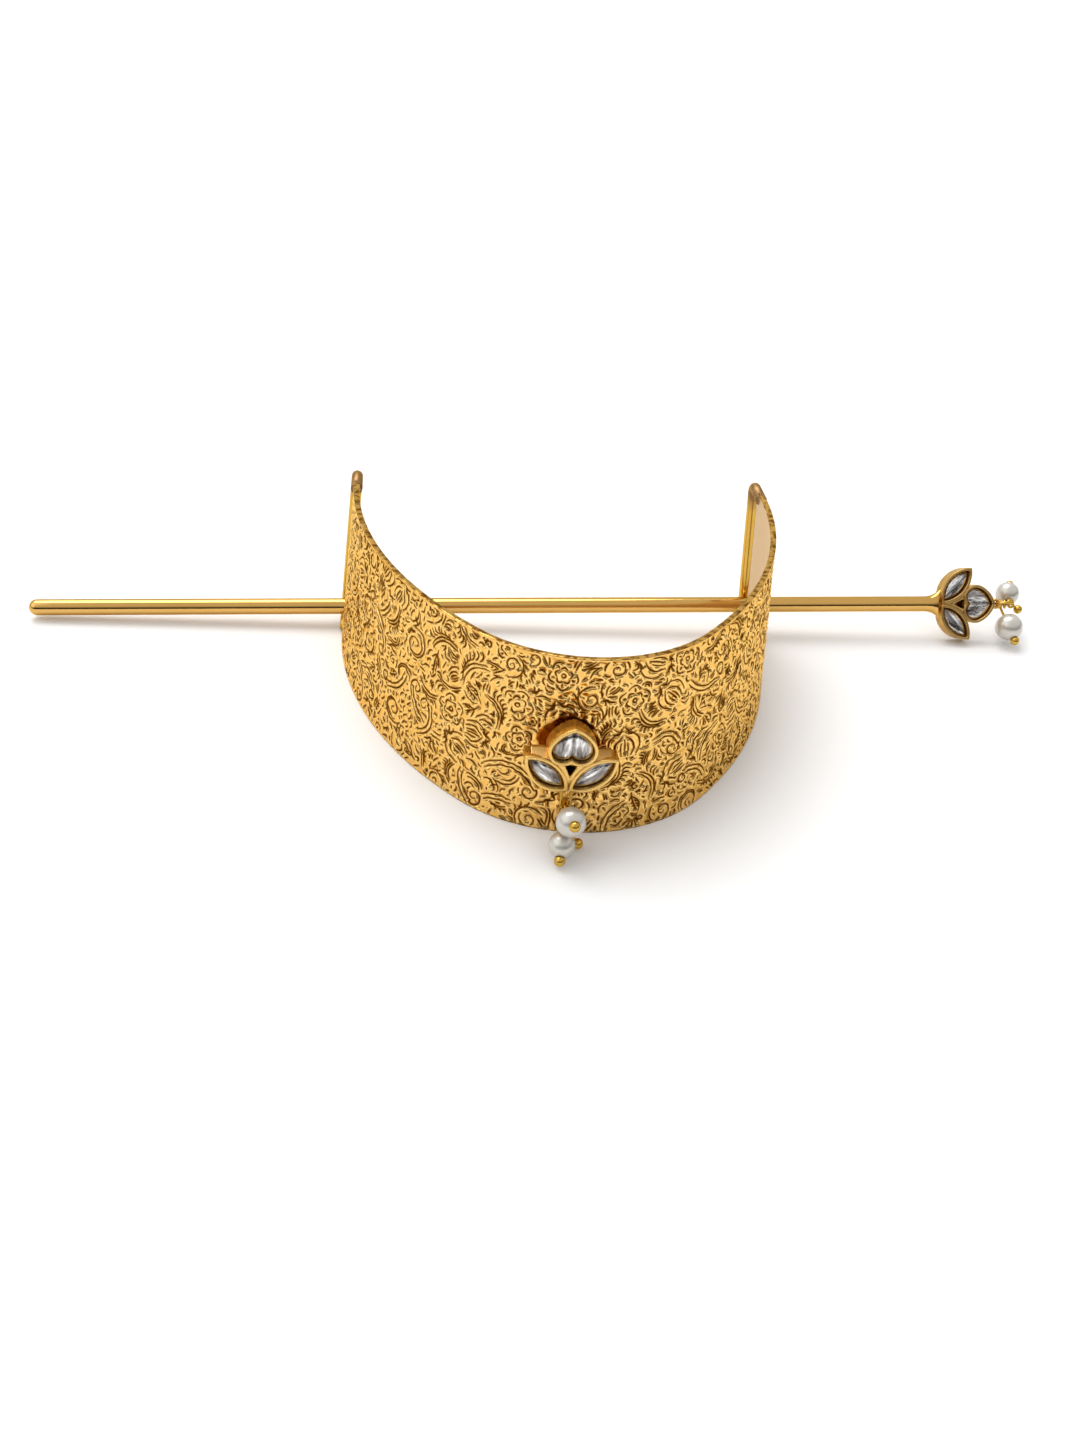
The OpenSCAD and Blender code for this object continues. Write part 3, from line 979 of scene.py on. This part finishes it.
def reach_to(line, way):
    """How far it is from the middle of the hole to an outline, in one direction."""
    a = line - HOLE_MID
    b = np.roll(a, -1, 0) - a
    cross = way[0]*b[:, 1] - way[1]*b[:, 0]
    far = (a[:, 0]*b[:, 1] - a[:, 1]*b[:, 0])/cross
    at = (a[:, 0]*way[1] - a[:, 1]*way[0])/cross
    hits = far[(at >= 0) & (at <= 1) & (far > 0)]
    return min(hits, default=SOLDER_R)


def upright(m, x, y, z):
    """Placing of a turned form that stands on a trefoil's plane."""
    return m @ placing([x, y, z], [0, 0, 1], [1, 0, 0])


def trefoil(name, m, body, rims, hole_floor):
    """Three collets with rounded rims on their backing, at the matrix m."""
    form = Form()
    for line in PETALS:
        form.loft([moved(m, at_height(line(grow), z)) for grow, z in COLLET_SECTION])
    low, high = -COLLET_DEEP, BACKING_THICK - COLLET_DEEP
    form.lathe(upright(m, 0, BACKING_Y, 0), [
        (NARROW, low), (BACKING_R, low), (BACKING_R, high), (NARROW, high),
    ], 72)
    made = form.piece(name, body, rims)
    # Walls and rims are smooth, and the faces that close a form are flat
    is_wall = [len(p.vertices) == 4 for p in made.data.polygons]
    made.data.polygons.foreach_set("use_smooth", is_wall)
    solder_in(name, m, body, rims, hole_floor)
    return made


def solder_in(name, m, body, solder, hole_floor):
    """Solder between the collets, round a small three-sided hole."""
    turn = full_turn(90)
    way = arc(0, 1, turn)
    near = sum((np.cos(turn - side)/gap).clip(0)**HOLE_SHARP for side, gap in HOLE_SIDES)
    collets = [line(SOLDER_OVERLAP) for line in PETALS]
    far = np.minimum(SOLDER_R, [min(reach_to(line, w) for line in collets) for w in way])
    rim = HOLE_MID + way*far[:, None]
    hole = HOLE_MID + way*near[:, None]**(-1/HOLE_SHARP)
    form = Form()
    form.loft([moved(m, at_height(line, z)) for line, z in (
        (rim, -COLLET_DEEP), (rim, -SOLDER_SINK + 0.1),
        (hole*0.75 + rim*0.25, -SOLDER_SINK), (hole*0.95 + rim*0.05, -SOLDER_SINK - 0.04),
        (hole, -SOLDER_SINK - 0.15), (hole, -COLLET_DEEP),
    )], caps=False)
    form.piece(name + "_solder", body, solder)
    # A thin disc at the bottom of the hole in hole_floor's finish, which on the cuff is painted
    # shade
    form = Form()
    form.lathe(upright(m, *HOLE_MID, BACKING_THICK - COLLET_DEEP), [
        (HOLE_FLOOR_R, 0), (HOLE_FLOOR_R, HOLE_FLOOR_THICK), (NARROW, HOLE_FLOOR_THICK),
    ])
    form.piece(name + "_hole", body, hole_floor)


# Long axis of each stone, in the trefoil's plane
STONE_AXES = ((0, 1), (0.768, 0.64), (-0.768, 0.64))
STONE_GAP = 0.06
STONE_SINK = 0.35
# Rings of a stone, from its foot to the ridge of its table: height, how far in from the collet,
# how much of that outline, and how much painted edge shade
STONE_RINGS = (
    (0.66 - COLLET_DEEP, 0.0, 1.0, 1.0), (-STONE_SINK - 0.55, 0.0, 1.0, 0.95),
    (-STONE_SINK - 0.3, 0.2, 1.0, 0.6), (-STONE_SINK - 0.12, 0.2, 0.87, 0.2),
    (-STONE_SINK, 0.2, 0.66, 0.0), (-STONE_SINK + 0.05, 0.2, 0.66*0.45, 0.0),
    (-STONE_SINK + 0.07, 0.2, 0.66*0.05, 0.0),
)


def stone(name, m, which, body):
    """A cut stone in its collet: bevelled all round, with a ridge along its table."""
    line = PETALS[which]
    middle = line(-STONE_GAP).mean(0)
    rings = []
    for z, inset, share, _ in STONE_RINGS:
        outline = middle + (line(-STONE_GAP - inset) - middle)*share
        rings.append(at_height(outline, z))
    form = Form()
    form.loft([moved(m, ring) for ring in rings])
    made = form.piece(name + "_cut", body, FOILED_GLASS[body], [name])
    spots = np.concatenate(rings)[:, :2] - middle
    x, y = STONE_AXES[which]
    carry(made.data, "edge", np.repeat([dark for *_, dark in STONE_RINGS], len(rings[0])))
    carry(made.data, "along", spots @ [x, y])
    carry(made.data, "across", spots @ [-y, x] + 3*which)


# ---------------------------------------------------------------- the two bodies
wall_y = BAND_Y - sqrt((FRONT_R + flare_out(MOTIF_Z))**2 - MOTIF_X**2)
motif_root = np.array([MOTIF_X, wall_y - MOTIF_GAP, MOTIF_Z])
on_cuff = placing(motif_root, [0, -cos(FLARE), sin(FLARE)], [1, 0, -tan(LEAN)])
along_stick = np.array([
    [cos(ROD_TILT), 0, -sin(ROD_TILT), 0],
    [0, 1, 0, 0],
    [sin(ROD_TILT), 0, cos(ROD_TILT), ROD_Z],
    [0, 0, 0, 1],
])
finial_face = np.array([0, -cos(FINIAL_TURN), sin(FINIAL_TURN)])
finial_right = [0, -sin(FINIAL_TURN), -cos(FINIAL_TURN)]
on_stick = along_stick @ placing(
    np.array([FINIAL_X, 0, 0]) + finial_face*COLLET_DEEP/2, finial_face, finial_right)


def end_loop(name, side):
    """Wire loop that closes the slot at one end of the band, with solder at its two corners."""
    mid_r = SIDE_R - BAND_THICK/2 + flare_out(WIRE_R)
    foot_x = side*(mid_r*sin(FRONT_HALF + SIDE_SWEEP) - SIDE_MID*sin(FRONT_HALF))
    foot = np.array([foot_x, SLOT_EDGE, WIRE_R])
    bend = LOOP_BEND - WIRE_R
    arm = LEG_Y - SLOT_EDGE - bend
    run = (BAND_HIGH - 2*WIRE_R)/cos(FLARE)
    quarter = np.linspace(0, pi/2, 12)
    flat = [(-WIRE_TUCK, 0), (arm, 0)]
    flat += [(arm + bend*sin(t), bend*(1 - cos(t))) for t in quarter[1:]]
    flat += [(arm + bend*cos(t), run - bend + bend*sin(t)) for t in quarter]
    flat += [(-WIRE_TUCK, run)]
    rise = np.array([-side*sin(FLARE), 0, cos(FLARE)])
    form = Form()
    form.tube([foot + rise*v + [0, y, 0] for y, v in flat], WIRE_R, 24)
    for v in (0, run):
        blob = placing(foot + rise*v - [0, BLOB_BACK, 0], [0, 1, 0], [0, 0, 1])
        blob[:3, 0] *= BLOB_FLAT
        turn = np.linspace(0.02, pi - 0.02, 14)
        form.lathe(blob, [(BLOB_R*sin(t), -BLOB_LONG*cos(t)) for t in turn], 24)
    form.piece(name, "cuff", LOOP_GOLD, ["cuff"])


def fillets():
    """Sloping fillets between the cuff's heart and the tips of its leaves."""
    foot = leaf_line(FILLET_OUT)
    between = (foot[:, 0] > FILLET_FROM) & (foot[:, 0] < FILLET_TO)
    foot = foot[between & (foot @ LEAF_UP > FILLET_LOW)]
    foot = foot[np.argsort(foot[:, 0])]
    end = foot[-1, 0]
    form = Form()
    for side in (1, -1):
        rings = []
        for z, top in FILLET_SECTION:
            over = [[end, top - 0.02], [end - 0.06, top], [FILLET_FROM, top]]
            line = np.concatenate([foot, over])[::side]*[side, 1]
            rings.append(moved(on_cuff, at_height(line, z)))
        form.loft(rings)
    form.piece("cuff_trefoil_fillets", "cuff", COLLET_BRONZE, smooth=False)


def post_and_eye():
    """The post that carries the cuff's trefoil, and the eye that its drop hangs from."""
    form = Form()
    long = MOTIF_GAP + BAND_THICK/2 - COLLET_DEEP
    form.lathe(upright(on_cuff, 0, BACKING_Y, -MOTIF_GAP - BAND_THICK/2), [
        (NARROW, 0), (POST_R, 0), (POST_R, long), (NARROW, long),
    ])
    eye = motif_root + [0, COLLET_DEEP/2, -EYE_BELOW]
    form.ring(placing(eye, [1, 0, 0], [0, 0, 1]), EYE_R, EYE_WIRE)
    form.piece("cuff_post_and_eye", "cuff", COLLET_GOLD, ["cuff"])


def build_cuff():
    band_panels()
    end_loop("cuff_loop_right", 1)
    end_loop("cuff_loop_left", -1)
    trefoil("cuff_trefoil", on_cuff, "cuff", COLLET_GOLD, HOLE_SHADE)
    fillets()
    for which, name in enumerate(("cuff_heart_stone", "cuff_right_stone", "cuff_left_stone")):
        stone(name, on_cuff, which, "cuff")
    post_and_eye()


def rod():
    """The rod with its round tip, which flattens and widens into the root of the finial."""
    sections = []
    for t in np.linspace(0.03, pi/2, 9):
        sections.append((TIP_X + ROD_R*(1 - cos(t)), ROD_R*sin(t), ROD_R*sin(t)))
    for x in np.linspace(TIP_X + TIP_LONG, ROOT_FROM, 30):
        sections.append((x, ROD_R, ROD_R))
    for s in np.linspace(0, 1, 16)[1:]:
        x = ROOT_FROM + s*(FINIAL_X + ROOT_TUCK - ROOT_FROM)
        sections.append((x, ROD_R + ROOT_WIDER*s**2.4, ROD_R - ROOT_THINNER*s**4))
    turn = full_turn(40)
    wide = np.outer(np.cos(turn), -np.array(finial_right))
    deep = np.outer(np.sin(turn), finial_face)
    form = Form()
    form.loft([moved(along_stick, [x, 0, 0] + w*wide + d*deep) for x, w, d in sections])
    form.piece("stick_rod", "stick", ROD_GOLD, ["stick"])


def build_stick():
    rod()
    made = trefoil("stick_trefoil", on_stick, "stick", COLLET_BRONZE, COLLET_BRONZE)
    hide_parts("stick")
    for which, name in enumerate(("stick_heart_stone", "stick_near_stone", "stick_far_stone")):
        stone(name, on_stick, which, "stick")
    form = Form()
    eye = [FINIAL_X + HEART_Y + HEART_TIP + EYE_BEYOND, 0, 0]
    form.ring(along_stick @ placing(eye, finial_face, [1, 0, 0]), EYE_R, EYE_WIRE)
    form.piece("stick_eye", "stick", COLLET_GOLD, ["stick"])


def dress_nodes():
    """Carried-over solids keep their shape and take a finish."""
    for name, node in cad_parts.items():
        if name in ("cuff", "stick") or "stone" in name:
            continue
        pearl = "pearl" in name
        node.data.materials.clear()
        node.data.materials.append(PEARL if pearl else WIRE_GOLD)


build_cuff()
build_stick()
dress_nodes()

# ---------------------------------------------------------------- studio
# In metres: the table's corners, and the backdrop's radius and height in section
TABLE = ((-40, -20, 0), (40, -20, 0), (40, 60, 0), (-40, 60, 0))
BACKDROP = ((2.5, -0.1), (2.5, 1.5), (1.6, 2.6), (0.1, 3.0))
BACKDROP_SIDES = 48
# The room's light: brighter towards this way, in these tones, and a bright panel on the left
ROOM_BRIGHT = 0.8
ROOM_WAY = (0, 0.25, 1)
ROOM_TONES = ((0.02, (0.05, 0.045, 0.04)), (0.42, (1, 1, 1)))
PANEL_WAY = (-0.8, -0.15, 0.58)
PANEL_EDGE = (0.78, 0.92)
PANEL_BRIGHT = 0.9
# The softbox overhead, a broad light that casts soft shadows
SOFTBOX_WAY = Vector((0.22, -0.5, -1))
SOFTBOX_WIDE = radians(42)
SOFTBOX_BRIGHT = 1.6
SOFTBOX_TINT = (1, 0.998, 0.99)
# The camera's place, which way is right and up in its picture, and its lens
CAMERA_AT = Vector((-25.702, -162.729, 115.929))*MM
CAMERA_RIGHT = Vector((0.9936, -0.0859, 0.0734))
CAMERA_UP = Vector((-0.0102, 0.5792, 0.8151))
LENS = 33.36


def stage(name, points, faces, material):
    """Something round the pin that is no part of it."""
    mesh = bpy.data.meshes.new(name)
    mesh.from_pydata(points, [], faces)
    mesh.materials.append(material)
    made = add_to_scene(name, mesh)
    return made


def surroundings():
    """A pale table, and a white backdrop all round that only the camera sees."""
    stage("table", TABLE, [(0, 1, 2, 3)], TABLE_WHITE)
    circle = arc(0, 1, full_turn(BACKDROP_SIDES))
    points = np.concatenate([at_height(r*circle, z) for r, z in BACKDROP]).tolist()
    faces = loft_faces(len(BACKDROP), BACKDROP_SIDES, caps=False)
    backdrop = stage("backdrop", points, faces, BACKDROP_WHITE)
    backdrop.visible_diffuse = backdrop.visible_glossy = False
    backdrop.visible_shadow = backdrop.visible_transmission = False


def soft_room():
    """Light from all round: bright above and behind, dark low in front, a panel on the left."""
    world = bpy.data.worlds.new("soft_room")
    bpy.context.scene.world = world
    world.use_nodes = True
    room = Nodes(world.node_tree, "Background")
    place = room.node("TexCoord", {}, output="Generated")

    def vector_maths(operation, first, second, output):
        return room.node("VectorMath", {0: first, 1: second}, output, operation=operation)

    towards = vector_maths("DOT_PRODUCT", place, ROOM_WAY, "Value")
    overhead = room.node("ValToRGB", {"Fac": towards}, stops=ROOM_TONES)
    panel = room.node("MapRange", {
        "Value": vector_maths("DOT_PRODUCT", place, PANEL_WAY, "Value"),
        "From Min": PANEL_EDGE[0], "From Max": PANEL_EDGE[1],
        "To Min": 0.0, "To Max": PANEL_BRIGHT,
    })
    room.set(Color=vector_maths("ADD", overhead, panel, "Vector"), Strength=ROOM_BRIGHT)


def overhead_softbox():
    """The broad light that casts the soft shadows."""
    lamp = bpy.data.lights.new("softbox", "SUN")
    lamp.angle = SOFTBOX_WIDE
    lamp.energy = SOFTBOX_BRIGHT
    lamp.color = SOFTBOX_TINT
    made = add_to_scene("softbox", lamp)
    made.rotation_euler = SOFTBOX_WAY.to_track_quat("-Z", "Y").to_euler()


def camera():
    lens = bpy.data.cameras.new("camera")
    lens.sensor_width = 36
    lens.lens = LENS
    lens.clip_start, lens.clip_end = 0.005, 20
    made = add_to_scene("camera", lens)
    right = CAMERA_RIGHT.normalized()
    up = (CAMERA_UP - right*CAMERA_UP.dot(right)).normalized()
    m = Matrix((right, up, right.cross(up))).transposed().to_4x4()
    m.translation = CAMERA_AT
    made.matrix_world = m
    bpy.context.scene.camera = made


surroundings()
soft_room()
overhead_softbox()
camera()
view = bpy.context.scene.view_settings
view.view_transform = "Standard"
view.look = "None"
